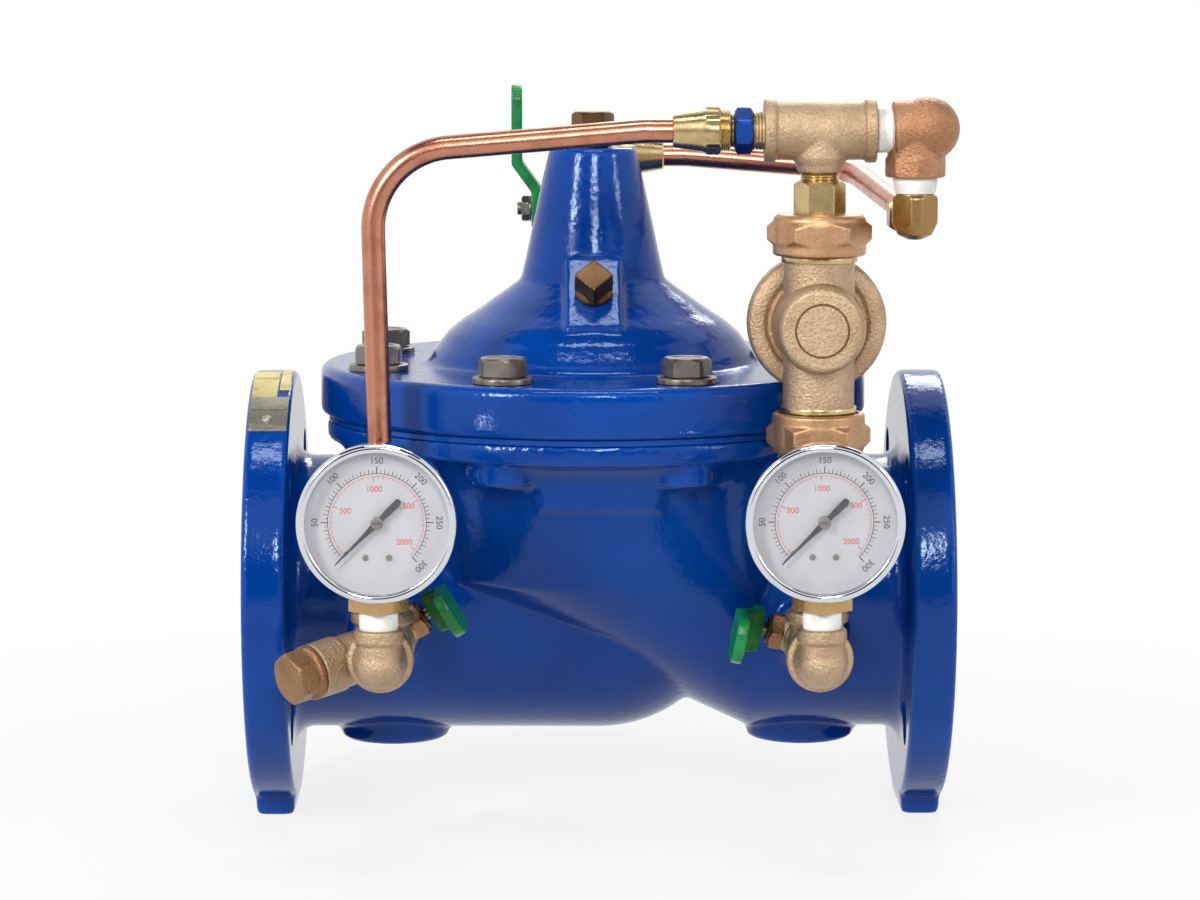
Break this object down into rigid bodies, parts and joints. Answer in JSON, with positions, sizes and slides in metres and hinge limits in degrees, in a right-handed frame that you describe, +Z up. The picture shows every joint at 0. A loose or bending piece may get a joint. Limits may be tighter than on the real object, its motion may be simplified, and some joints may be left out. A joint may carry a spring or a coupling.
{
  "type": "automatic control valve",
  "caption": "Flanged globe-pattern diaphragm control valve with a pilot, copper sensing lines, a strainer, ball cocks and two dial gauges",
  "frame": {"origin": "centre of the footprint on the ground plane under the two flange feet", "axes": "+Z up towards the cover, +X along the pipe with the flow from inlet to outlet, +Y to the back, away from the gauges"},
  "size_m": [0.3048, 0.2804, 0.3207],
  "materials": {
    "blue": "glossy epoxy coat",
    "bronze": "cast bronze, plain",
    "street": "cast red bronze, plain",
    "brass": "turned brass",
    "copper": "drawn copper",
    "steel": "plain stainless steel",
    "zinc": "weathered zinc plate",
    "plug": "dark bronze",
    "vinyl": "green vinyl dip",
    "rubber": "reinforced rubber",
    "chrome": "polished case",
    "pointer": "black enamel"
  },
  "bodies": {
    "valve": {"cover": "blue", "cover_bolt_1": "zinc", "cover_bolt_2": "zinc", "cover_bolt_3": "zinc", "cover_bolt_4": "zinc", "cover_bolt_5": "zinc", "cover_bolt_6": "zinc", "cover_bolt_7": "zinc", "cover_bolt_8": "zinc", "cover_cock_body": "bronze", "cover_elbow": "bronze", "cover_plug": "plug", "front_tube": "copper", "inlet_cock_body": "bronze", "inlet_gauge_case": "chrome", "inlet_gauge_elbow": "bronze", "inlet_strainer": "bronze", "lower_tube_fitting": "brass", "lower_union_nut": "bronze", "main_body": "blue", "main_diaphragm": "rubber", "main_spring": "steel", "outlet_cock_body": "bronze", "outlet_gauge_case": "chrome", "outlet_gauge_elbow": "bronze", "outlet_riser": "bronze", "outlet_tee": "bronze", "pilot_body": "bronze", "pilot_bonnet": "bronze", "pilot_diaphragm": "rubber", "pilot_spring": "steel", "pilot_tee": "bronze", "rear_tube": "copper", "rear_tube_fitting": "brass", "restriction_fitting": "blue", "seat_ring": "bronze", "strainer_cap": "bronze", "strainer_screen": "steel", "street_elbow": "street", "top_plug": "plug", "tube_elbow": "brass", "upper_tube_nut": "brass", "upper_union_nut": "bronze", "upper_union_tail": "brass"},
    "lift_assembly": {"main_stem": "steel", "stem_nut": "steel", "diaphragm_washer": "steel", "disc_retainer": "steel", "valve_disc": "rubber"},
    "inlet_cock": {"inlet_cock_ball": "steel", "inlet_cock_lever": "vinyl"},
    "outlet_cock": {"outlet_cock_ball": "steel", "outlet_cock_lever": "vinyl"},
    "cover_cock": {"cover_cock_ball": "steel", "cover_cock_lever": "vinyl"},
    "inlet_pointer": {"inlet_gauge_pointer": "pointer"},
    "outlet_pointer": {"outlet_gauge_pointer": "pointer"},
    "button": {"spring_button": "steel"},
    "screw": {"adjusting_screw": "steel"},
    "poppet": {"pilot_poppet": "steel"}
  },
  "joints": [
    {"name": "main_lift", "type": "slide", "parent": "valve", "child": "lift_assembly", "axis": [0, 0, 1], "range_m": [0, 0.014], "stiffness_N_per_m": 2000, "springref_m": -0.02, "deforming": ["main_diaphragm", "main_spring"]},
    {"name": "inlet_cock_turn", "type": "hinge", "parent": "valve", "child": "inlet_cock", "pos_m": [-0.0915, -0.05875, 0.088], "axis": [0.848, 0, 0.5299], "range_deg": [0, 90]},
    {"name": "outlet_cock_turn", "type": "hinge", "parent": "valve", "child": "outlet_cock", "pos_m": [0.0915, -0.05875, 0.088], "axis": [0.9781, 0, -0.2079], "range_deg": [0, 90]},
    {"name": "cover_cock_turn", "type": "hinge", "parent": "valve", "child": "cover_cock", "pos_m": [-0.002, 0.0728, 0.2639], "axis": [-1, 0, 0], "range_deg": [0, 90]},
    {"name": "inlet_pointer_turn", "type": "hinge", "parent": "valve", "child": "inlet_pointer", "pos_m": [-0.0915, -0.1354, 0.1488], "axis": [0, 1, 0], "range_deg": [0, 270], "stiffness_Nm_per_rad": 0.0002},
    {"name": "outlet_pointer_turn", "type": "hinge", "parent": "valve", "child": "outlet_pointer", "pos_m": [0.0915, -0.1354, 0.1488], "axis": [0, 1, 0], "range_deg": [0, 270], "stiffness_Nm_per_rad": 0.0002},
    {"name": "adjuster_travel", "type": "slide", "parent": "valve", "child": "button", "axis": [0, -1, 0], "range_m": [0, 0.005], "deforming": ["pilot_spring"]},
    {"name": "adjuster_turn", "type": "hinge", "parent": "button", "child": "screw", "pos_m": [0.0915, -0.0352, 0.2252], "axis": [0, -1, 0], "range_deg": [0, 1440]},
    {"name": "pilot_lift", "type": "slide", "parent": "valve", "child": "poppet", "axis": [0, -1, 0], "range_m": [0, 0.0015], "stiffness_N_per_m": 500, "deforming": ["pilot_diaphragm"]}
  ],
  "couplings": [
    {"joint": "adjuster_turn", "follows": "adjuster_travel", "rad_per_m": 5026.5}
  ]
}
